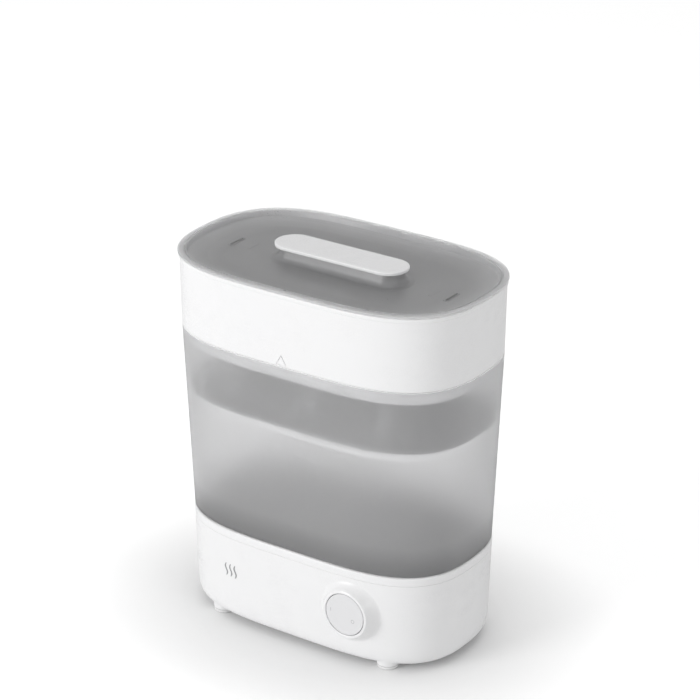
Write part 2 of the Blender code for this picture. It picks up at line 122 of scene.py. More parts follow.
def edgesOf(ring):
    # each edge once, always in the same order
    return list(dict.fromkeys(edge for vertex in ring for edge in vertex.link_edges))


def newPiece(name, bm):
    bm.normal_update()
    bmesh.ops.recalc_face_normals(bm, faces=bm.faces[:])
    mesh = bpy.data.meshes.new(name)
    bm.to_mesh(mesh)
    bm.free()
    piece = bpy.data.objects.new(name, mesh)
    bpy.context.scene.collection.objects.link(piece)
    return piece


def ovalPiece(name, profile, seat=0.0, closed=False, leadOf=plainLead):
    path = roundCorners(profile, closed)
    path = fillLongRuns(path + path[:1] if closed else path)
    bm = bmesh.new()
    length, height = path[0]
    ring = bmesh.ops.create_circle(bm, segments=outline["sides"], radius=1)["verts"]
    for vertex in ring:
        vertex.co.x = length * soften(round(vertex.co.x, 6), outline["endPower"]) * mm
        side = soften(round(vertex.co.y, 6), outline["sidePower"])
        vertex.co.y = (length - leadOf(length)) * side * mm
        vertex.co.z = (seat + height) * mm
    edges = edgesOf(ring)
    if not closed:
        bmesh.ops.edgeloop_fill(bm, edges=edges)
    for (length, height), (nextLength, nextHeight) in zip(path, path[1:]):
        made = bmesh.ops.extrude_edge_only(bm, edges=edges)["geom"]
        ring = [item for item in made if isinstance(item, bmesh.types.BMVert)]
        edges = [item for item in made if isinstance(item, bmesh.types.BMEdge)]
        depth, nextDepth = length - leadOf(length), nextLength - leadOf(nextLength)
        bmesh.ops.scale(bm, verts=ring, vec=(nextLength / length, nextDepth / depth, 1))
        bmesh.ops.translate(bm, verts=ring, vec=(0, 0, (nextHeight - height) * mm))
    if closed:
        bmesh.ops.remove_doubles(bm, verts=bm.verts, dist=weldGap * mm)
    else:
        bmesh.ops.edgeloop_fill(bm, edges=edges)
    return newPiece(name, bm)


def stadiumPiece(name, halfLength, halfWidth, profile, seat=0.0, sides=64, centre=(0, 0)):
    # a lozenge with round ends, whose sides follow a profile of (distance outward, height)
    path = roundCorners(profile, False)
    bm = bmesh.new()
    turn = Matrix.Rotation(math.pi / sides, 4, "Z")
    ring = bmesh.ops.create_circle(bm, segments=sides, radius=1, matrix=turn)["verts"]
    outward = {}
    middle = halfLength - halfWidth
    for vertex in ring:
        outward[vertex] = vertex.co.normalized()
        outset, height = path[0]
        side = math.copysign(middle, vertex.co.x)
        vertex.co = Vector((side, 0, seat + height)) * mm + outward[vertex] * (halfWidth + outset) * mm
    edges = edgesOf(ring)
    bmesh.ops.edgeloop_fill(bm, edges=edges)
    for first, second in zip(path, path[1:]):
        made = bmesh.ops.extrude_edge_only(bm, edges=edges)["geom"]
        edges = [item for item in made if isinstance(item, bmesh.types.BMEdge)]
        for vertex in [item for item in made if isinstance(item, bmesh.types.BMVert)]:
            side = math.copysign(middle * mm, vertex.co.x)
            way = Vector((vertex.co.x - side, vertex.co.y, 0)).normalized()
            vertex.co += way * (second.x - first.x) * mm
            vertex.co.z += (second.y - first.y) * mm
    bmesh.ops.edgeloop_fill(bm, edges=edges)
    bmesh.ops.translate(bm, verts=bm.verts, vec=(centre[0] * mm, centre[1] * mm, 0))
    return newPiece(name, bm)


def addTurned(bm, profile, centre, facing="up", steps=64):
    # a turned solid: profile points are (radius, height), from one end of its axis to the other
    path = roundCorners(profile, False)
    verts = [bm.verts.new((point.x * mm, 0, point.y * mm)) for point in path]
    edges = [bm.edges.new(pair) for pair in zip(verts, verts[1:])]
    bmesh.ops.spin(bm, geom=verts + edges, axis=(0, 0, 1), cent=(0, 0, 0),
                   angle=2 * math.pi, steps=steps, use_merge=True)
    # a tag marks what earlier calls added
    untagged = [vertex for vertex in bm.verts if not vertex.tag]
    bmesh.ops.remove_doubles(bm, verts=untagged, dist=weldGap * mm)
    fresh = [vertex for vertex in bm.verts if not vertex.tag]
    if facing == "front":
        bmesh.ops.rotate(bm, verts=fresh, cent=(0, 0, 0), matrix=Matrix.Rotation(math.pi / 2, 3, "X"))
    bmesh.ops.translate(bm, verts=fresh, vec=Vector(centre) * mm)
    for vertex in fresh:
        vertex.tag = True


def addBox(bm, low, high, bevel=0.0, segments=3):
    size = [(b - a) * mm for a, b in zip(low, high)]
    middle = [(a + b) / 2 * mm for a, b in zip(low, high)]
    matrix = Matrix.Translation(middle) @ Matrix.Diagonal((*size, 1.0))
    made = bmesh.ops.create_cube(bm, size=1, matrix=matrix)["verts"]
    if bevel:
        edges = edgesOf(made)
        made = bmesh.ops.bevel(bm, geom=edges, offset=bevel * mm, segments=segments, profile=0.5,
                               affect="EDGES", material=-1)["verts"]
    for vertex in made:
        vertex.tag = True
    return made


def addRod(bm, centre, radius, length, along="Z", sides=32):
    turn = {"Z": Matrix.Identity(4), "Y": Matrix.Rotation(math.pi / 2, 4, "X")}[along]
    made = bmesh.ops.create_cone(
        bm, cap_ends=True, segments=sides, depth=length * mm, radius1=radius * mm,
        radius2=radius * mm,
        matrix=Matrix.Translation(Vector(centre) * mm) @ turn)["verts"]
    for vertex in made:
        vertex.tag = True
    return made


def helper(build):
    bm = bmesh.new()
    build(bm)
    return newPiece("helper", bm)


def combine(piece, tool, operation):
    modifier = piece.modifiers.new("combine", "BOOLEAN")
    modifier.object = tool
    modifier.operation = operation
    evaluated = piece.evaluated_get(bpy.context.evaluated_depsgraph_get())
    mesh = bpy.data.meshes.new_from_object(evaluated)
    piece.modifiers.clear()
    piece.data = mesh
    bpy.data.objects.remove(tool)


def cut(piece, tool):
    combine(piece, tool, "DIFFERENCE")


def join(piece, tool):
    combine(piece, tool, "UNION")


def finishPiece(piece, material, slotName, body, *nodes):
    piece.data.materials.clear()
    piece.data.materials.append(material)
    piece.data.shade_smooth()
    piece.data.set_sharp_from_angle(angle=math.radians(sharpAngle))
    weighted = piece.modifiers.new("evenShading", "WEIGHTED_NORMAL")
    weighted.keep_sharp = True
    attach(piece, body)
    if nodes:
        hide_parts(*nodes)
    print("made", piece.name, len(piece.data.polygons), "faces")


def eachCorner(x, y):
    return [(x * side, y * end) for side in (-1, 1) for end in (-1, 1)]


# camera

cameraView = {
    "azimuth": 34.5,           # degrees round from the front, towards the right
    "elevation": 23.88,
    "distance": 2.272,         # metres
    "lens": 136.7,
    "aimHeight": 0.2536,
    "aimRight": 0.0072,
}


def addCamera():
    azimuth = math.radians(cameraView["azimuth"])
    elevation = math.radians(cameraView["elevation"])
    back = Vector((math.sin(azimuth) * math.cos(elevation), -math.cos(azimuth) * math.cos(elevation),
                   math.sin(elevation)))
    right = Vector((math.cos(azimuth), math.sin(azimuth), 0))
    aim = Vector((0, 0, cameraView["aimHeight"])) + right * cameraView["aimRight"]
    camera = bpy.data.objects.new("camera", bpy.data.cameras.new("camera"))
    camera.data.lens = cameraView["lens"]
    camera.data.sensor_width = 36
    camera.location = aim + back * cameraView["distance"]
    camera.rotation_euler = (-back).to_track_quat("-Z", "Y").to_euler()
    bpy.context.scene.collection.objects.link(camera)
    bpy.context.scene.camera = camera


addCamera()
print("camera placed")


# effects that several finishes share

def newGroup(name, inputs, outputs):
    group = bpy.data.node_groups.new(name, "ShaderNodeTree")
    for label, kind, value in inputs:
        socket = group.interface.new_socket(name=label, in_out="INPUT", socket_type=kind)
        if value is not None:
            socket.default_value = value
    for label, kind in outputs:
        group.interface.new_socket(name=label, in_out="OUTPUT", socket_type=kind)
    return group, group.nodes.new("NodeGroupInput"), group.nodes.new("NodeGroupOutput")


def wire(tree, source, target):
    tree.links.new(source, target)


def mathNode(tree, operation, first, second=None, third=None, clamp=False):
    node = tree.nodes.new("ShaderNodeMath")
    node.operation = operation
    node.use_clamp = clamp
    for index, value in enumerate((first, second, third)):
        if value is None:
            continue
        if isinstance(value, (int, float)):
            node.inputs[index].default_value = value
        else:
            wire(tree, value, node.inputs[index])
    return node.outputs[0]


def noiseNode(tree, vector, scale, detail=2.0, roughness=0.5):
    node = tree.nodes.new("ShaderNodeTexNoise")
    wire(tree, vector, node.inputs["Vector"])
    for label, value in (("Scale", scale), ("Detail", detail), ("Roughness", roughness)):
        if isinstance(value, (int, float)):
            node.inputs[label].default_value = value
        else:
            wire(tree, value, node.inputs[label])
    return node.outputs["Fac"]


def buildMouldedSkin():
    # what an injection mould leaves: cloudy tone, fine grain, and gloss that varies with both
    group, start, end = newGroup("mouldedSkin", [
        ("Vector", "NodeSocketVector", None),
        ("Colour", "NodeSocketColor", (0.8, 0.8, 0.8, 1.0)),
        ("Tone", "NodeSocketFloat", 0.02),
        ("Cloud Scale", "NodeSocketFloat", 18.0),
        ("Grain Scale", "NodeSocketFloat", 1800.0),
        ("Gloss", "NodeSocketFloat", 0.4),
        ("Gloss Range", "NodeSocketFloat", 0.1),
    ], [("Colour", "NodeSocketColor"), ("Roughness", "NodeSocketFloat"), ("Height", "NodeSocketFloat")])
    cloud = noiseNode(group, start.outputs["Vector"], start.outputs["Cloud Scale"], 4.0, 0.55)
    grain = noiseNode(group, start.outputs["Vector"], start.outputs["Grain Scale"], 2.0, 0.6)
    centred = mathNode(group, "SUBTRACT", cloud, 0.5)
    tone = mathNode(group, "MULTIPLY_ADD", centred, start.outputs["Tone"], 1.0)
    shade = group.nodes.new("ShaderNodeHueSaturation")
    wire(group, tone, shade.inputs["Value"])
    wire(group, start.outputs["Colour"], shade.inputs["Color"])
    wire(group, shade.outputs["Color"], end.inputs["Colour"])
    mixed = mathNode(group, "ADD", mathNode(group, "SUBTRACT", grain, 0.5), centred)
    rough = mathNode(group, "MULTIPLY_ADD", mixed, start.outputs["Gloss Range"],
                     start.outputs["Gloss"], True)
    wire(group, rough, end.inputs["Roughness"])
    wire(group, grain, end.inputs["Height"])
    return group


def buildFineScratches():
    # hair lines from wiping and stacking, as a mask with thin bright streaks
    group, start, end = newGroup("fineScratches", [
        ("Vector", "NodeSocketVector", None),
        ("Density", "NodeSocketFloat", 60.0),
        ("Amount", "NodeSocketFloat", 0.3),
    ], [("Mask", "NodeSocketFloat")])
    found = None
    for angle, stretch in ((0.4, 30.0), (1.9, 22.0)):
        turned = group.nodes.new("ShaderNodeMapping")
        turned.inputs["Rotation"].default_value = (0.3, angle, angle)
        turned.inputs["Scale"].default_value = (1.0, stretch, stretch)
        wire(group, start.outputs["Vector"], turned.inputs["Vector"])
        streaks = noiseNode(group, turned.outputs["Vector"], start.outputs["Density"], 3.0, 0.7)
        thin = mathNode(group, "MULTIPLY_ADD", streaks, 9.0, -5.6, True)
        found = thin if found is None else mathNode(group, "MAXIMUM", found, thin)
    wire(group, mathNode(group, "MULTIPLY", found, start.outputs["Amount"]), end.inputs["Mask"])
    return group


mouldedSkin = buildMouldedSkin()
fineScratches = buildFineScratches()


def newFinish(name):
    material = bpy.data.materials.new(name)
    material.use_nodes = True
    tree = material.node_tree
    return material, tree, tree.nodes["Principled BSDF"]


def centredVector(tree, centre=(0, 0, 0), turn=(0, 0, 0), scale=(1, 1, 1)):
    coordinates = tree.nodes.new("ShaderNodeTexCoord")
    mapping = tree.nodes.new("ShaderNodeMapping")
    mapping.inputs["Location"].default_value = [-value * grow for value, grow in zip(centre, scale)]
    mapping.inputs["Rotation"].default_value = turn
    mapping.inputs["Scale"].default_value = scale
    wire(tree, coordinates.outputs["Object"], mapping.inputs["Vector"])
    return mapping.outputs["Vector"]


def addSkin(tree, shader, look, vector, colourSource=None):
    skin = tree.nodes.new("ShaderNodeGroup")
    skin.node_tree = mouldedSkin
    wire(tree, vector, skin.inputs["Vector"])
    if colourSource is None:
        skin.inputs["Colour"].default_value = (*look["colour"], 1.0)
    else:
        wire(tree, colourSource, skin.inputs["Colour"])
    skin.inputs["Tone"].default_value = look.get("tone", 0.03)
    skin.inputs["Cloud Scale"].default_value = look.get("cloud", 18.0)
    skin.inputs["Grain Scale"].default_value = look.get("grain", 1800.0)
    skin.inputs["Gloss"].default_value = look["roughness"]
    skin.inputs["Gloss Range"].default_value = look.get("range", 0.1)
    wire(tree, skin.outputs["Colour"], shader.inputs["Base Color"])
    scratches = tree.nodes.new("ShaderNodeGroup")
    scratches.node_tree = fineScratches
    wire(tree, vector, scratches.inputs["Vector"])
    scratches.inputs["Density"].default_value = look.get("scratchDensity", 40.0)
    scratches.inputs["Amount"].default_value = look.get("scratches", 0.06)
    rough = mathNode(tree, "ADD", skin.outputs["Roughness"], scratches.outputs["Mask"], clamp=True)
    wire(tree, rough, shader.inputs["Roughness"])
    bump = tree.nodes.new("ShaderNodeBump")
    bump.inputs["Strength"].default_value = look.get("bump", 0.35)
    bump.inputs["Distance"].default_value = look.get("depth", 0.02) * mm
    wire(tree, skin.outputs["Height"], bump.inputs["Height"])
    wire(tree, bump.outputs["Normal"], shader.inputs["Normal"])
    return skin, rough


def setShader(shader, look):
    for label, value in look.get("shader", {}).items():
        shader.inputs[label].default_value = value


def plainFinish(name, look):
    material, tree, shader = newFinish(name)
    addSkin(tree, shader, look, centredVector(tree))
    setShader(shader, look)
    return material


whiteLook = {"colour": (0.87, 0.87, 0.875), "tone": 0.02, "roughness": 0.28,
             "range": 0.1, "grain": 2200.0,
             "depth": 0.012, "scratches": 0.05, "shader": {"IOR": 1.48, "Specular IOR Level": 0.45}}
whitePlastic = plainFinish("whitePlastic", whiteLook)

footLook = {"colour": (0.82, 0.82, 0.82), "tone": 0.05, "roughness": 0.62, "range": 0.2, "grain": 3000.0,
            "depth": 0.03, "scratches": 0.1}
footRubber = plainFinish("footRubber", footLook)

siliconeLook = {"colour": (0.42, 0.42, 0.43), "tone": 0.08, "roughness": 0.55,
                "range": 0.15, "grain": 2400.0,
                "depth": 0.02, "shader": {"Subsurface Weight": 0.05, "Subsurface Scale": 0.002}}
siliconeFinish = plainFinish("siliconeFinish", siliconeLook)

blackLook = {"colour": (0.025, 0.025, 0.027), "tone": 0.2, "roughness": 0.42,
             "range": 0.2, "grain": 1600.0,
             "depth": 0.03, "scratches": 0.12}
blackPlastic = plainFinish("blackPlastic", blackLook)

# painted shade: the bowl's inside is the same white plastic, coloured a little darker where the baskets
# above shade it
bowlShadeLook = {"colour": (0.85, 0.85, 0.865), "tone": 0.04, "roughness": 0.36,
            "range": 0.1, "grain": 1800.0,
            "depth": 0.015, "scratches": 0.08}
bowlPaintedShade = plainFinish("bowlPaintedShade", bowlShadeLook)

trayLook = {"colour": (0.31, 0.31, 0.315), "tone": 0.12, "cloud": 30.0, "roughness": 0.5, "range": 0.14,
            "grain": 1500.0, "depth": 0.035, "bump": 0.5, "scratches": 0.1}
trayGrey = plainFinish("trayGrey", trayLook)

wireLook = {"colour": (0.72, 0.72, 0.71), "tone": 0.06, "roughness": 0.4, "range": 0.12, "grain": 900.0,
            "depth": 0.03, "shader": {"Coat Weight": 0.15}}
wireJacket = plainFinish("wireJacket", wireLook)

frostedLook = {"colour": (0.90, 0.90, 0.905), "tone": 0.03, "cloud": 12.0, "roughness": 0.38,
               "range": 0.08,
               "grain": 1400.0, "depth": 0.03, "bump": 0.4, "scratches": 0.06,
               # low is painted shade: the wall darkens to it below the fade, towards the floor and the foot
               # ring
               "low": (0.50, 0.50, 0.505), "fade": (86.0, 122.0),
               "shader": {"IOR": 1.36, "Transmission Weight": 0.84, "Specular IOR Level": 0.4}}

# the lid's low colour is painted shade that darkens the middle of the dish
lidLook = {"colour": (0.88, 0.88, 0.885), "low": (0.60, 0.60, 0.605), "fade": (0.35, 0.98),
           "tone": 0.03, "cloud": 12.0, "roughness": 0.3, "range": 0.08,
           "grain": 1400.0, "depth": 0.025, "bump": 0.4, "scratches": 0.07,
           "shader": {"IOR": 1.4, "Transmission Weight": 0.7, "Specular IOR Level": 0.5}}


def paintedShadeBlend(tree, look, measure):
    # painted shade: from the low tone, the shade, to the plain colour over the fade
    start, end = look["fade"]
    ramp = mathNode(tree, "MULTIPLY_ADD", measure, 1 / (end - start), -start / (end - start), True)
    mix = tree.nodes.new("ShaderNodeMix")
    mix.data_type = "RGBA"
    wire(tree, ramp, mix.inputs["Factor"])
    mix.inputs[6].default_value = (*look["low"], 1.0)
    mix.inputs[7].default_value = (*look["colour"], 1.0)
    return mix.outputs[2]


def buildFrostedPlastic():
    # painted shade: the tint darkens towards the floor and the foot ring
    material, tree, shader = newFinish("frostedPlastic")
    vector = centredVector(tree)
    split = tree.nodes.new("ShaderNodeSeparateXYZ")
    wire(tree, vector, split.inputs["Vector"])
    height = mathNode(tree, "MULTIPLY", split.outputs["Z"], 1 / mm)
    addSkin(tree, shader, frostedLook, vector, paintedShadeBlend(tree, frostedLook, height))
    setShader(shader, frostedLook)
    return material


# painted highlight: the rim is coloured lighter and lets less light through, to stand for its bright edge;
# the lower roughness is a real gloss
rimHighlightLook = dict(frostedLook, colour=(0.96, 0.96, 0.965), roughness=0.25,
               shader={"IOR": 1.4, "Transmission Weight": 0.25, "Specular IOR Level": 0.6})
rimPaintedHighlight = plainFinish("rimPaintedHighlight", rimHighlightLook)


def buildFrostedLid():
    # painted shade: the flange is pale and the middle of the dish is darker
    material, tree, shader = newFinish("frostedLid")
    vector = centredVector(tree)
    split = tree.nodes.new("ShaderNodeSeparateXYZ")
    wire(tree, vector, split.inputs["Vector"])
    total = None
    axes = (("X", lidTop.x, outline["endPower"]), ("Y", lidTop.y, outline["sidePower"]))
    for axis, reach, power in axes:
        share = mathNode(tree, "DIVIDE", mathNode(tree, "ABSOLUTE", split.outputs[axis]), reach * mm)
        raised = mathNode(tree, "POWER", share, power)
        total = raised if total is None else mathNode(tree, "ADD", total, raised)
    addSkin(tree, shader, lidLook, vector, paintedShadeBlend(tree, lidLook, total))
    setShader(shader, lidLook)
    return material


def buildCoatedPlate():
    # a dark coating with fine lighter specks
    look = {"colour": (0.145, 0.145, 0.155), "tone": 0.15, "cloud": 25.0, "roughness": 0.36,
            "range": 0.14,
            "grain": 2600.0, "depth": 0.02, "scratches": 0.14, "scratchDensity": 70.0,
            "speckScale": 900.0, "speck": (0.26, 0.26, 0.27), "shader": {"Metallic": 0.25}}
    material, tree, shader = newFinish("coatedPlate")
    vector = centredVector(tree)
    cells = tree.nodes.new("ShaderNodeTexVoronoi")
    wire(tree, vector, cells.inputs["Vector"])
    cells.inputs["Scale"].default_value = look["speckScale"]
    mask = mathNode(tree, "MULTIPLY_ADD", cells.outputs["Distance"], -5.0, 1.2, True)
    mix = tree.nodes.new("ShaderNodeMix")
    mix.data_type = "RGBA"
    wire(tree, mask, mix.inputs["Factor"])
    mix.inputs[6].default_value = (*look["colour"], 1.0)
    mix.inputs[7].default_value = (*look["speck"], 1.0)
    addSkin(tree, shader, look, vector, mix.outputs[2])
    setShader(shader, look)
    return material


def buildBrushedSteel():
    look = {"colour": (0.60, 0.60, 0.61), "tone": 0.1, "roughness": 0.28, "range": 0.22, "grain": 700.0,
            "depth": 0.01, "scratches": 0.2, "scratchDensity": 160.0, "shader": {"Metallic": 1.0}}
    material, tree, shader = newFinish("brushedSteel")
    addSkin(tree, shader, look, centredVector(tree, scale=(1, 12, 12)))
    setShader(shader, look)
    return material


def buildCircuitBoard():
    # green lacquer over copper tracks that run square to each other
    look = {"colour": (0.03, 0.16, 0.07), "track": (0.07, 0.28, 0.13), "tone": 0.1, "roughness": 0.35,
            "range": 0.12, "grain": 1500.0, "depth": 0.02, "trackScale": 260.0}
    material, tree, shader = newFinish("circuitBoard")
    vector = centredVector(tree)
    bricks = tree.nodes.new("ShaderNodeTexBrick")
    wire(tree, centredVector(tree, turn=(math.pi / 2, 0, 0)), bricks.inputs["Vector"])
    bricks.inputs["Scale"].default_value = look["trackScale"]
    bricks.inputs["Mortar Size"].default_value = 0.05
    bricks.inputs["Color1"].default_value = (*look["colour"], 1.0)
    bricks.inputs["Color2"].default_value = (*[value * 0.85 for value in look["colour"]], 1.0)
    bricks.inputs["Mortar"].default_value = (*look["track"], 1.0)
    addSkin(tree, shader, look, vector, bricks.outputs["Color"])
    return material


frostedPlastic = buildFrostedPlastic()
frostedLid = buildFrostedLid()
coatedPlate = buildCoatedPlate()
brushedSteel = buildBrushedSteel()
circuitBoard = buildCircuitBoard()
print("finishes made")


# steam base

buttonLow, buttonHigh = [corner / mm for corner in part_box("power_button")]
buttonSize = {"radius": 19.1, "depth": 6.4, "dish": 0.25, "edge": 0.9}
buttonPlace = ((buttonLow.x + buttonHigh.x) / 2, buttonLow.y, buttonHigh.z - buttonSize["radius"])
barMiddle = buttonPlace[2] - 7.3           # the stop bar and the stem sit low, in line with the switch

housingSize = {
    "profile": [
        (119.2, 6.5, 0.5), (134.3, 6.5, 15.0), (136.45, 85.75, 0.45), (133.9, 85.75), (133.8, 88.6, 0.3),
        (132.8, 88.6, 0.3), (131.9, 8.9, 12.5), (119.2, 8.9, 0.4)],
    "boss": [(0, 3.2), (9.6, 3.2, 1.0), (10.8, 12.0), (0, 12.0)],
    "lip": (21.9, 0.35),             # radius of the bezel's lip, and how far it stands past the button
    "flare": (29.8, 12, 2.1),        # radius where the flare meets the wall, its rings, its curve
    "behind": 1.7,                   # the flare's back lies this deep in the wall
    "bore": [(0, 4.0), (20.5, 4.0), (20.5, 0.4), (19.8, 0.05, 0.4), (19.5, -0.8), (19.5, -24.0),
             (0, -24.0)],
    "inletRoom": (11.3, 6.3),
}


def wallLength(z):
    # half-length of the housing's outer oval at this height
    low, high = housingSize["profile"][1], housingSize["profile"][2]
    return low[0] + (z - low[1]) * (high[0] - low[0]) / (high[1] - low[1])


def addBezel(bm):
    # a lip round the button that flares out until it lies flush with the curved wall
    lipRadius, proud = housingSize["lip"]
    reach, rings, curve = housingSize["flare"]
    radii = [lipRadius + (reach - lipRadius) * step / rings for step in range(rings + 1)]
    profile = [(0, proud), (lipRadius - 1.6, proud, 0.1)]
    profile += [(radius, proud) for radius in radii]
    profile += [(radius, -20.0) for radius in (reach, 26.0, 18.0, 0.0)]
    addTurned(bm, profile, buttonPlace, "front", 96)
    lipY = buttonPlace[1] - proud
    for vertex in bm.verts:
        x, y, z = vertex.co / mm
        radius = math.hypot(x - buttonPlace[0], z - buttonPlace[2])
        wallY = -ovalDepth(wallLength(z), x)
        if y > lipY + 1.0:
            vertex.co.y = (wallY + housingSize["behind"]) * mm
        elif radius > lipRadius - 0.9:
            along = min(max((radius - lipRadius) / (reach - lipRadius), 0.0), 1.0)
            share = (1 - along) ** curve
            edge = 0.45 if radius < lipRadius + 0.1 else 0.0
            vertex.co.y = (wallY * (1 - share) + lipY * share + edge + 0.12 * along) * mm


def buildHousing():
    piece = ovalPiece("baseHousing", housingSize["profile"], closed=True)
    feet = [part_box("foot_" + name) for name in ("front_right", "rear_left")]
    footX = (feet[0][0].x + feet[0][1].x) / 2 / mm
    footY = (feet[1][0].y + feet[1][1].y) / 2 / mm

    def bosses(bm):
        for x, y in eachCorner(footX, footY):
            addTurned(bm, housingSize["boss"], (x, y, 0), steps=48)

    def boardPosts(bm):
        for name, start in (("left", -75.0), ("right", -69.2)):
            low, high = [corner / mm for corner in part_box("board_screw_" + name)]
            middle = ((low.x + high.x) / 2, (start - 61.9) / 2, (low.z + high.z) / 2)
            addRod(bm, middle, 3.0, -61.9 - start, along="Y", sides=20)

    def openings(bm):
        x = buttonPlace[0]
        addBox(bm, (x - 22.8, -76.4, barMiddle - 3.3), (x + 22.8, -70.0, barMiddle + 3.3))
        inletLow, inletHigh = [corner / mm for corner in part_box("mains_inlet")]
        z = (inletLow.z + inletHigh.z) / 2
        width, height = housingSize["inletRoom"]
        addBox(bm, (-width, 70.0, z - height), (width, 90.0, z + height))

    join(piece, helper(bosses))
    join(piece, helper(addBezel))
    join(piece, helper(boardPosts))
    cut(piece, helper(openings))
    cut(piece, helper(lambda bm: addTurned(bm, housingSize["bore"], buttonPlace, "front", 96)))
    finishPiece(piece, whitePlastic, "white_plastic", "base", "base_housing")


bowlSize = {
    "profile": [
        (136.5, 85.9, 0.45), (136.75, 93.5, 2.2), (131.2, 93.5, 1.2), (129.3, 76.0, 8.0),
        (126.6, 66.0, 8.0), (120.5, 57.6, 8.0), (108.0, 53.2, 6.0), (97.6, 52.9, 1.5), (94.9, 55.5, 2.0),
        (90.8, 55.2, 1.5), (85.8, 47.4, 2.5), (80.2, 47.4, 0.3), (80.2, 45.4, 0.3), (88.0, 45.4, 2.0),
        (92.5, 50.6, 2.0), (98.5, 50.8, 1.0), (112.6, 52.2, 4.0), (121.9, 56.3, 4.0), (128.7, 65.2, 4.0),
        (131.4, 75.6, 4.0), (132.3, 89.0, 0.3), (134.25, 89.0, 0.3), (134.25, 85.95, 0.2)],
    "postRadius": 4.0,
    "pilotRadius": 1.85,
    "rimInside": 131.4,      # faces within this oval get the painted shade of the inside
}


def insideOval(point, halfLength):
    x, y = abs(point.x) / mm / halfLength, abs(point.y) / mm / (halfLength - outline["lead"])
    return x ** outline["endPower"] + y ** outline["sidePower"] < 1


def buildBowl():
    piece = ovalPiece("waterBowl", bowlSize["profile"], closed=True, leadOf=bowlLead)
    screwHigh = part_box("cover_screw_rear_right")[1] / mm
    coverX, coverY = screwHigh.x - 3.3, screwHigh.y - 3.3
    spots = [(x, y, 14.3, 32.0, 52.3) for x, y in eachCorner(coverX, coverY)]
    spots += [(0, y, 40.9, 47.8, 48.6) for y in (-40.0, 40.0)]

    def posts(bm):
        for x, y, low, pilotTop, high in spots:
            addRod(bm, (x, y, (low + high) / 2), bowlSize["postRadius"], high - low, sides=24)

    def pilots(bm):
        for x, y, low, pilotTop, high in spots:
            addRod(bm, (x, y, (low - 3.0 + pilotTop) / 2), bowlSize["pilotRadius"],
                   pilotTop - low + 3.0, sides=16)

    join(piece, helper(posts))
    cut(piece, helper(pilots))
    finishPiece(piece, whitePlastic, "bowl_plastic", "base", "water_bowl")
    # the faces inside the rim take the painted shade
    piece.data.materials.append(bowlPaintedShade)
    for face in piece.data.polygons:
        if insideOval(face.center, bowlSize["rimInside"]):
            face.material_index = 1


plateProfile = [(79.5, 49.0), (84.2, 49.0, 0.4), (84.2, 50.5, 0.6), (82.4, 50.5, 0.4), (81.2, 50.1, 0.4),
                (79.5, 50.1)]


def buildPlate():
    piece = ovalPiece("heatingPlate", plateProfile, leadOf=bowlLead)
    finishPiece(piece, coatedPlate, "coated_plate", "base", "heating_plate")


footProfile = [(0, 0), (9.2, 0, 2.4), (9.6, 2.9, 0.3), (0, 2.9)]


def buildFeet():
    for corner in ("rear_left", "rear_right", "front_left", "front_right"):
        low, high = [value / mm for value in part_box("foot_" + corner)]
        centre = ((low.x + high.x) / 2, (low.y + high.y) / 2, low.z)
        name = "footPad." + corner
        piece = helper(lambda bm: addTurned(bm, footProfile, centre, steps=48))
        piece.name = name
        finishPiece(piece, footRubber, "foot_rubber", "base", "foot_" + corner)


inletSize = {"flange": (14.0, 9.0), "lip": 1.7, "recess": 4.2, "pins": 4.3, "pinRadius": 1.2,
             "pinLength": 12.4}


def buildInlet():
    low, high = [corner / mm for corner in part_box("mains_inlet")]
    z = (low.z + high.z) / 2
    width, height = inletSize["flange"]
    rear = high.y

    def block(bm):
        addBox(bm, (-11.0, low.y, z - 6.0), (11.0, rear - 0.6, z + 6.0), 1.0)

    def flange(bm):
        addBox(bm, (-width, rear - inletSize["lip"], z - height), (width, rear, z + height), 0.7, 4)

    def well(bm):
        recess = inletSize["recess"]
        addBox(bm, (-recess, rear - 16.3, z - 3.4), (recess, rear + 4.0, z + 3.4))

    piece = helper(block)
    piece.name = "mainsInlet"
    join(piece, helper(flange))
    for side in (-1, 1):
        middle = (side * 4.0, rear - 6.6, z)
        cut(piece, helper(lambda bm: addRod(bm, middle, inletSize["recess"], 20.0, "Y", 32)))
    cut(piece, helper(well))
    finishPiece(piece, blackPlastic, "black_plastic", "base", "mains_inlet")

    def pins(bm):
        for side in (-1, 1):
            centre = (side * inletSize["pins"], rear - 16.0, z)
            radius, length = inletSize["pinRadius"], inletSize["pinLength"]
            profile = [(0, 0), (radius, 0), (radius, -length, 0.9), (0, -length)]
            addTurned(bm, profile, centre, "front", 24)

    pinPiece = helper(pins)
    pinPiece.name = "inletPins"
    finishPiece(pinPiece, brushedSteel, "steel", "base")


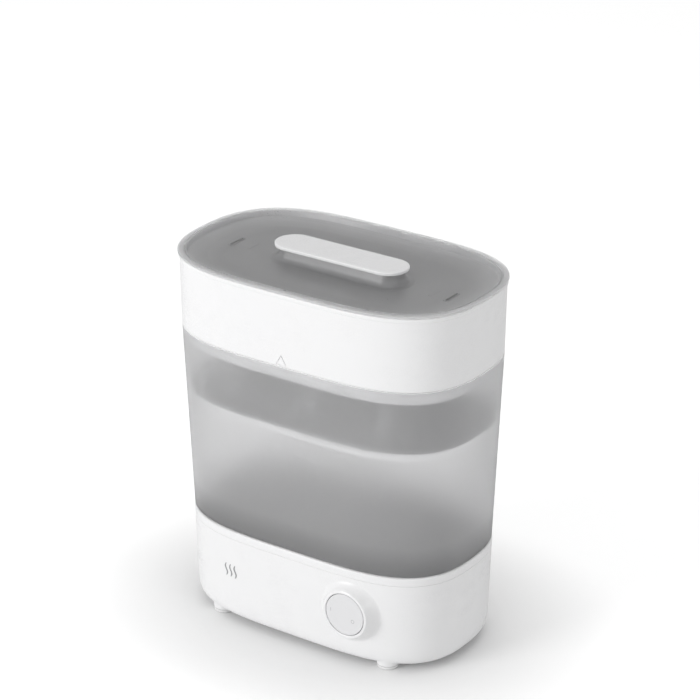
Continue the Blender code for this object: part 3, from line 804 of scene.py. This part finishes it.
def buildMark():
    # three rising waves of steam, printed on the front left of the base
    size = {"x": -66.0, "z": 47.5, "gap": 5.2, "height": 12.0, "sway": 1.1, "width": 0.75, "proud": 0.12,
            "wallLow": (134.9, 25.0), "wallHigh": (136.45, 85.5), "thickness": 0.3}
    lowLength, lowHeight = size["wallLow"]
    highLength, highHeight = size["wallHigh"]
    lean = (highLength - lowLength) / (highHeight - lowHeight)
    bm = bmesh.new()
    for column in (-1, 0, 1):
        middle = size["x"] + column * size["gap"]
        strip = bmesh.ops.create_grid(bm, x_segments=1, y_segments=18, size=0.5)["verts"]
        for vertex in strip:
            rise = vertex.co.y + 0.5
            taper = 0.35 + 0.65 * math.sin(math.pi * min(max(rise, 0.02), 0.98)) ** 0.5
            sway = size["sway"] * math.sin(rise * 2 * math.pi)
            x = middle + vertex.co.x * 2 * size["width"] * taper + sway
            z = size["z"] + rise * size["height"]
            behind = ovalDepth(lowLength + (z - lowHeight) * lean, x)
            vertex.co = Vector((x, -behind - size["proud"], z)) * mm
    bmesh.ops.solidify(bm, geom=bm.faces[:], thickness=size["thickness"] * mm)
    piece = newPiece("steamMark", bm)
    finishPiece(piece, markGrey, "grey_plastic", "base")


markLook = {"colour": (0.30, 0.30, 0.31), "tone": 0.05, "roughness": 0.45,
            "range": 0.08, "grain": 2500.0,
            "depth": 0.01}
markGrey = plainFinish("markGrey", markLook)

buildHousing()
buildBowl()
buildPlate()
buildFeet()
buildInlet()
buildMark()


# power button

def buildButton():
    radius, depth = buttonSize["radius"], buttonSize["depth"]
    cap = [(0, -buttonSize["dish"]), (10.0, -buttonSize["dish"] * 0.85, 6.0), (17.4, 0, 3.0),
           (radius, 0, buttonSize["edge"]), (radius, -depth, 0.3), (0, -depth)]
    piece = helper(lambda bm: addTurned(bm, cap, buttonPlace, "front", 96))
    piece.name = "powerButton"
    x = buttonPlace[0]
    join(piece, helper(lambda bm: addBox(
        bm, (x - 12.0, -78.0, barMiddle - 2.4), (x + 12.0, -75.0, barMiddle + 2.4))))
    join(piece, helper(lambda bm: addBox(
        bm, (x - 22.2, -76.1, barMiddle - 2.8), (x + 22.2, -74.4, barMiddle + 2.8), 0.4, 2)))
    join(piece, helper(lambda bm: addRod(bm, (x, -71.9, barMiddle), 3.0, 11.4, "Y", 32)))
    finishPiece(piece, buttonWhite, "white_plastic", "power_button", "power_button")


def buildButtonFinish():
    # white like the housing, with a small tick at nine o'clock and a ring symbol at four o'clock
    look = dict(whiteLook, colour=(0.76, 0.76, 0.77), roughness=0.4)
    marks = {"tick": (-14.3, 1.2), "tickSize": (0.28, 1.6), "ring": (8.2, -4.2), "ringRadius": 1.5,
             "ringWidth": 0.28, "ink": (0.52, 0.52, 0.53)}
    material, tree, shader = newFinish("buttonWhite")
    vector = centredVector(tree)
    local = centredVector(tree, [value * mm for value in buttonPlace])
    split = tree.nodes.new("ShaderNodeSeparateXYZ")
    wire(tree, local, split.inputs["Vector"])

    def away(output, middle):
        return mathNode(tree, "SUBTRACT", output, middle * mm)

    tickX = mathNode(tree, "ABSOLUTE", away(split.outputs["X"], marks["tick"][0]))
    tickZ = mathNode(tree, "ABSOLUTE", away(split.outputs["Z"], marks["tick"][1]))
    tick = mathNode(tree, "MULTIPLY",
                    mathNode(tree, "LESS_THAN", tickX, marks["tickSize"][0] * mm),
                    mathNode(tree, "LESS_THAN", tickZ, marks["tickSize"][1] * mm))
    ringX = away(split.outputs["X"], marks["ring"][0])
    ringZ = away(split.outputs["Z"], marks["ring"][1])
    squares = mathNode(tree, "ADD", mathNode(tree, "MULTIPLY", ringX, ringX),
                       mathNode(tree, "MULTIPLY", ringZ, ringZ))
    offRing = mathNode(tree, "ABSOLUTE", mathNode(
        tree, "SUBTRACT", mathNode(tree, "SQRT", squares), marks["ringRadius"] * mm))
    ring = mathNode(tree, "LESS_THAN", offRing, marks["ringWidth"] * mm)
    inked = mathNode(tree, "MAXIMUM", tick, ring)
    mix = tree.nodes.new("ShaderNodeMix")
    mix.data_type = "RGBA"
    wire(tree, inked, mix.inputs["Factor"])
    mix.inputs[6].default_value = (*look["colour"], 1.0)
    mix.inputs[7].default_value = (*marks["ink"], 1.0)
    addSkin(tree, shader, look, vector, mix.outputs[2])
    setShader(shader, look)
    return material


buttonWhite = buildButtonFinish()
buildButton()


# large basket and its tray

floorSlots = {"x": (-76.0, -38.0, 0.0, 38.0, 76.0), "y": (-34.0, 0.0, 34.0), "halfLength": 14.0,
              "halfWidth": 4.0}


def cutFloorSlots(piece, low, high):
    for y in floorSlots["y"]:
        for x in floorSlots["x"]:
            tool = stadiumPiece("helper", floorSlots["halfLength"], floorSlots["halfWidth"],
                                [(0, low), (0, high)], sides=16, centre=(x, y))
            cut(piece, tool)


basketSize = {
    "profile": [
        (116.0, -2.5), (121.7, -2.5, 0.8), (123.2, -16.6, 0.7), (125.95, -16.6, 0.9), (127.45, -0.1, 0.8),
        (136.3, -0.1, 3.2), (142.85, 174.6, 0.7), (141.25, 174.6, 0.7), (139.9, 160.0, 3.0),
        (138.7, 122.0, 1.0), (138.5, 117.2, 0.4), (136.8, 117.0, 0.4), (136.8, 114.0, 0.8),
        (138.1, 111.0, 1.5), (133.9, 1.9, 4.0), (127.6, 1.8, 1.5), (124.8, -0.4, 1.5), (116.0, -0.4)],
    "rimStart": 173.8,               # the rim's painted highlight begins here: from this height the faces are coloured lighter
    "notchTop": 39.0, "notchFoot": 48.6, "notchHeight": 3.9, "tab": (-47.0, -20.0), "tabHeight": 3.7,
}


def buildLargeBasket():
    seat = seats["basket"]
    piece = ovalPiece("largeBasket", basketSize["profile"], seat)
    cutFloorSlots(piece, seat - 6.0, seat + 4.0)
    foot = seat - drops["basket"]
    top = foot + basketSize["notchHeight"]

    def notch(bm):
        # a trapezium through the foot ring, front and rear
        for side in (-1, 1):
            made = addBox(bm, (-1.0, side * 68.0 - 12.0, foot - 3.0), (1.0, side * 68.0 + 12.0, top))
            for vertex in made:
                lowEnd = vertex.co.z < foot * mm
                reach = basketSize["notchFoot"] + 3.0 if lowEnd else basketSize["notchTop"]
                vertex.co.x = math.copysign(reach * mm, vertex.co.x)

    def tabs(bm):
        for side in (-1, 1):
            start, end = [value * -side for value in basketSize["tab"]]
            low, high = min(start, end), max(start, end)
            y = side * 67.0
            addBox(bm, (low, y - 0.9, foot + basketSize["notchHeight"] - basketSize["tabHeight"]),
                   (high, y + 0.9, foot + basketSize["notchHeight"] + 1.0), 0.6, 3)

    cut(piece, helper(notch))
    join(piece, helper(tabs))
    finishPiece(piece, frostedPlastic, "frosted_plastic", "large_basket", "large_basket")
    # the faces along the top take the painted rim highlight
    piece.data.materials.append(rimPaintedHighlight)
    for face in piece.data.polygons:
        if face.center.z > (seat + basketSize["rimStart"]) * mm:
            face.material_index = 1


traySize = {
    "profile": [(100.0, 0), (138.0, 0, 0.5), (138.0, 3.4, 0.8), (135.7, 3.4, 0.9), (135.0, 1.9, 0.8),
                (113.0, 1.9, 0.8), (111.4, 3.0, 1.2), (100.0, 3.0)],
    "cone": [(0, 1.0), (21.0, 1.0), (20.0, 2.9, 0.2), (12.0, 3.6, 9.0), (8.0, 27.2, 0.9), (0, 27.2)],
    "hollow": [(0, -4.0), (10.0, -4.0), (9.8, 0, 0.6), (6.3, 25.8, 0.6), (6.9, 29.0), (0, 29.0)],
    "x": (-76.0, 0.0, 76.0), "y": (-40.0, 40.0),
    "holeRows": ((64, 130.0), (56, 120.5)), "holeRadius": 1.7,
}


def buildTray():
    seat = seats["tray"]
    piece = ovalPiece("bottleTray", traySize["profile"], seat)
    spots = [(x, y, seat) for x in traySize["x"] for y in traySize["y"]]

    def cones(bm):
        for spot in spots:
            addTurned(bm, traySize["cone"], spot, steps=48)

    def hollows(bm):
        for spot in spots:
            addTurned(bm, traySize["hollow"], spot, steps=40)

    def holes(bm):
        for count, reach in traySize["holeRows"]:
            for step in range(count):
                angle = 2 * math.pi * (step + 0.5) / count
                x = reach * soften(math.cos(angle), outline["endPower"])
                y = (reach - outline["lead"]) * soften(math.sin(angle), outline["sidePower"])
                addRod(bm, (x, y, seat + 1.0), traySize["holeRadius"], 8.0, sides=12)

    join(piece, helper(cones))
    cut(piece, helper(hollows))
    cut(piece, helper(holes))
    finishPiece(piece, trayGrey, "grey_plastic", "tray", "bottle_tray")


buildLargeBasket()
buildTray()


# small basket

smallSize = {
    "profile": [
        (116.0, -14.1), (138.0, -14.1, 3.2), (140.5, -2.3, 0.2), (139.6, -2.3, 0.2), (139.6, -0.05, 0.2),
        (142.8, -0.05, 0.6), (143.7, 61.5, 0.3),
        (144.35, 62.1, 0.4), (144.35, 65.6, 1.3), (141.7, 65.6, 1.1), (141.5, 61.4, 1.0), (140.7, 3.6, 2.0),
        (137.5, -0.4, 2.0), (135.6, -12.0, 2.8), (116.0, -12.0)],
    "markX": -2.0, "markHeight": 4.6, "markSize": 5.6, "markWidth": 0.8, "markDepth": 0.7,
    "markWall": 142.87,              # the wall's half-length at the triangle
}


def buildSmallBasket():
    seat = seats["small"]
    piece = ovalPiece("smallBasket", smallSize["profile"], seat)
    cutFloorSlots(piece, seat - 18.0, seat - 8.0)

    # the outline of a triangle, pressed into the front wall one side at a time
    markX, markZ = smallSize["markX"], seat + smallSize["markHeight"]
    wallY = -ovalDepth(smallSize["markWall"], markX)
    angles = [math.pi / 2 + turn * 2 * math.pi / 3 for turn in range(3)]
    corners = [Vector((math.cos(angle), 0, math.sin(angle))) * smallSize["markSize"] for angle in angles]

    def groove(bm, first, second, depth):
        along = second - first
        half, width = along.length / 2, smallSize["markWidth"] / 2
        made = addBox(bm, (-half - width, -2.0, -width), (half + width, depth, width))
        turn = Matrix.Rotation(-math.atan2(along.z, along.x), 3, "Y")
        bmesh.ops.rotate(bm, verts=made, cent=(0, 0, 0), matrix=turn)
        middle = (first + second) / 2 + Vector((markX, wallY, markZ))
        bmesh.ops.translate(bm, verts=made, vec=middle * mm)

    for side in range(3):
        first, second = corners[side], corners[(side + 1) % 3]
        depth = smallSize["markDepth"] + 0.03 * side
        cut(piece, helper(lambda bm: groove(bm, first, second, depth)))
    finishPiece(piece, whitePlastic, "white_plastic", "small_basket", "small_basket")


buildSmallBasket()


# lid

lidSize = {
    "profile": [
        (100.0, -8.5), (108.0, -8.5, 14.0), (124.0, -7.5, 14.0), (137.2, -5.8, 2.5), (139.6, -4.2, 1.2),
        (140.4, 0, 0.4), (145.0, 0, 0.7), (145.0, 2.1, 0.7), (140.7, 2.1, 0.3), (140.3, 0.7, 0.2),
        (139.6, 0.7, 0.2), (139.2, 2.2, 0.4), (137.9, 2.2, 0.5), (137.0, -2.4, 1.0), (135.2, -3.3, 0.8),
        (131.0, -4.3, 8.0), (122.0, -5.9, 14.0), (108.0, -6.5, 14.0), (100.0, -6.5)],
    "pedestal": [(11.0, -7.5), (9.6, -6.5, 0.5), (3.0, -5.2, 7.0), (0.3, 4.8, 0.5), (-1.0, 4.8)],
    "pedestalReach": (60.0, 12.0),
    "hollow": [(4.0, -12.0), (0.5, -6.0, 2.0), (-2.4, 2.6, 0.5), (-4.0, 2.6)],
    "slotX": 110.0, "slot": (0.95, 9.0), "slotLip": (2.1, 10.2), "slotLipHeight": 0.6,
    "markX": 93.0, "mark": (1.6, 7.0), "markHeight": 0.25,
    "notchX": (-79.0, 0.0, 79.0), "notchWidth": 2.2,
    "postX": 35.0,
}


def buildLid():
    seat = seats["lid"]
    piece = ovalPiece("lidShell", lidSize["profile"], seat)
    length, width = lidSize["pedestalReach"]
    join(piece, stadiumPiece("helper", length, width, lidSize["pedestal"], seat))
    cut(piece, stadiumPiece("helper", length, width, lidSize["hollow"], seat))

    def lips(bm):
        halfWidth, halfLength = lidSize["slotLip"]
        for side in (-1, 1):
            x = side * lidSize["slotX"]
            addBox(bm, (x - halfWidth, -halfLength, seat - 7.4),
                   (x + halfWidth, halfLength, seat - 6.4 + lidSize["slotLipHeight"]), 0.5, 3)
            markWidth, markLength = lidSize["mark"]
            x = side * lidSize["markX"]
            addBox(bm, (x - markWidth, -markLength, seat - 7.4),
                   (x + markWidth, markLength, seat - 6.5 + lidSize["markHeight"]), 0.2, 2)

    def openings(bm):
        halfWidth, halfLength = lidSize["slot"]
        for side in (-1, 1):
            x = side * lidSize["slotX"]
            low, high = (x - halfWidth, -halfLength, seat - 14.0), (x + halfWidth, halfLength, seat + 4.0)
            addBox(bm, low, high)
            addRod(bm, (side * lidSize["postX"], 0, seat + 4.0), 3.4, 8.0, sides=24)

    def notches(bm):
        for x in lidSize["notchX"]:
            for side in (-1, 1):
                y = side * (ovalDepth(139.0, x) - 0.2)
                halfWidth = lidSize["notchWidth"] / 2
                addBox(bm, (x - halfWidth, y - 0.9, seat + 1.15), (x + halfWidth, y + 0.9, seat + 3.0))

    join(piece, helper(lips))
    cut(piece, helper(openings))
    cut(piece, helper(notches))
    finishPiece(piece, frostedLid, "frosted_lid", "lid", "lid_shell")


handleSize = {
    "reach": (65.5, 17.5),
    "profile": [(-2.0, 5.1), (0, 5.1, 0.7), (0, 8.0, 1.1), (-2.6, 8.1, 0.8), (-4.0, 8.1)],
}


def buildHandle():
    seat = seats["lid"]
    length, width = handleSize["reach"]
    piece = stadiumPiece("lidHandle", length, width, handleSize["profile"], seat, sides=96)

    def posts(bm):
        for side in (-1, 1):
            addRod(bm, (side * lidSize["postX"], 0, seat + 2.8), 3.0, 6.0, sides=24)

    join(piece, helper(posts))
    finishPiece(piece, whitePlastic, "white_plastic", "lid", "lid_handle")


buildLid()
buildHandle()


# better finishes on the CAD nodes that stay

keptNodes = {
    "bottom_cover": whitePlastic,
    "plate_seal": siliconeFinish,
    "heating_element": brushedSteel,
    "thermostat_bracket": brushedSteel,
    "thermostat": blackPlastic,
    "thermal_fuse": blackPlastic,
    "button_switch": blackPlastic,
    "control_board": circuitBoard,
    "wire_live": wireJacket,
    "wire_neutral": wireJacket,
    "wire_element": wireJacket,
}
for name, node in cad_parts.items():
    if "screw" in name:
        keptNodes[name] = brushedSteel
for name, material in keptNodes.items():
    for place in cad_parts[name].material_slots:
        place.material = material
print("kept nodes finished:", len(keptNodes))


# floor and light

studio = {
    "floorSize": 12.0,
    "floorColour": (0.86, 0.86, 0.86),
    "floorLift": 0.42,           # makes the paper read as white to the camera
    "shadowReach": 0.14,         # in metres
    "shadowDepth": 3.5,
    "ambient": 0.58,             # what lights the object
    "backdrop": 1.0,             # what stands behind it and shows through the frosted walls
    "aim": (0, 0, 0.2),
    "lights": [                  # name, place, width, watts
        ("key", (-1.2, -2.5, 1.0), 1.2, 36.5),
        ("top", (0.3, 0.4, 2.6), 1.6, 6.0),
        ("side", (2.4, -0.5, 1.0), 0.8, 6.0),
    ],
}


def seenDirectly(tree):
    # one for rays from the camera and through the frosted walls, nought for light that falls on things
    paths = tree.nodes.new("ShaderNodeLightPath")
    return mathNode(tree, "MAXIMUM", paths.outputs["Is Camera Ray"],
                    paths.outputs["Is Transmission Ray"])


def buildFloor():
    bm = bmesh.new()
    bmesh.ops.create_grid(bm, x_segments=2, y_segments=2, size=studio["floorSize"] / 2)
    floor = newPiece("floor", bm)
    material, tree, shader = newFinish("floorPaper")
    look = {"colour": studio["floorColour"], "tone": 0.01, "cloud": 3.0, "roughness": 0.8, "range": 0.05,
            "grain": 400.0, "depth": 0.02, "scratches": 0.0}
    addSkin(tree, shader, look, centredVector(tree))
    # painted shadow: the lift fades where the base stands close above, deepening the real soft contact
    # shadow
    closeness = tree.nodes.new("ShaderNodeAmbientOcclusion")
    closeness.inputs["Distance"].default_value = studio["shadowReach"]
    opened = mathNode(tree, "POWER", closeness.outputs["AO"], studio["shadowDepth"])
    lift = mathNode(tree, "MULTIPLY", opened, studio["floorLift"])
    shader.inputs["Emission Color"].default_value = (1, 1, 1, 1)
    wire(tree, mathNode(tree, "MULTIPLY", seenDirectly(tree), lift), shader.inputs["Emission Strength"])
    floor.data.materials.append(material)


def buildLights():
    for name, place, width, watts in studio["lights"]:
        light = bpy.data.lights.new(name, "AREA")
        light.shape = "SQUARE"
        light.size = width
        light.energy = watts
        lamp = bpy.data.objects.new(name, light)
        lamp.location = place
        lamp.rotation_euler = (Vector(studio["aim"]) - Vector(place)).to_track_quat("-Z", "Y").to_euler()
        bpy.context.scene.collection.objects.link(lamp)


def buildWorld():
    world = bpy.data.worlds.new("studioWorld")
    world.use_nodes = True
    tree = world.node_tree
    tree.nodes.clear()
    output = tree.nodes.new("ShaderNodeOutputWorld")
    mix = tree.nodes.new("ShaderNodeMixShader")
    wire(tree, seenDirectly(tree), mix.inputs[0])
    for index, strength in ((1, studio["ambient"]), (2, studio["backdrop"])):
        background = tree.nodes.new("ShaderNodeBackground")
        background.inputs["Color"].default_value = (1, 1, 1, 1)
        background.inputs["Strength"].default_value = strength
        wire(tree, background.outputs[0], mix.inputs[index])
    wire(tree, mix.outputs[0], output.inputs["Surface"])
    bpy.context.scene.world = world


buildFloor()
buildLights()
buildWorld()
bpy.context.scene.view_settings.view_transform = "Standard"
print("studio ready")

bpy.context.view_layer.update()
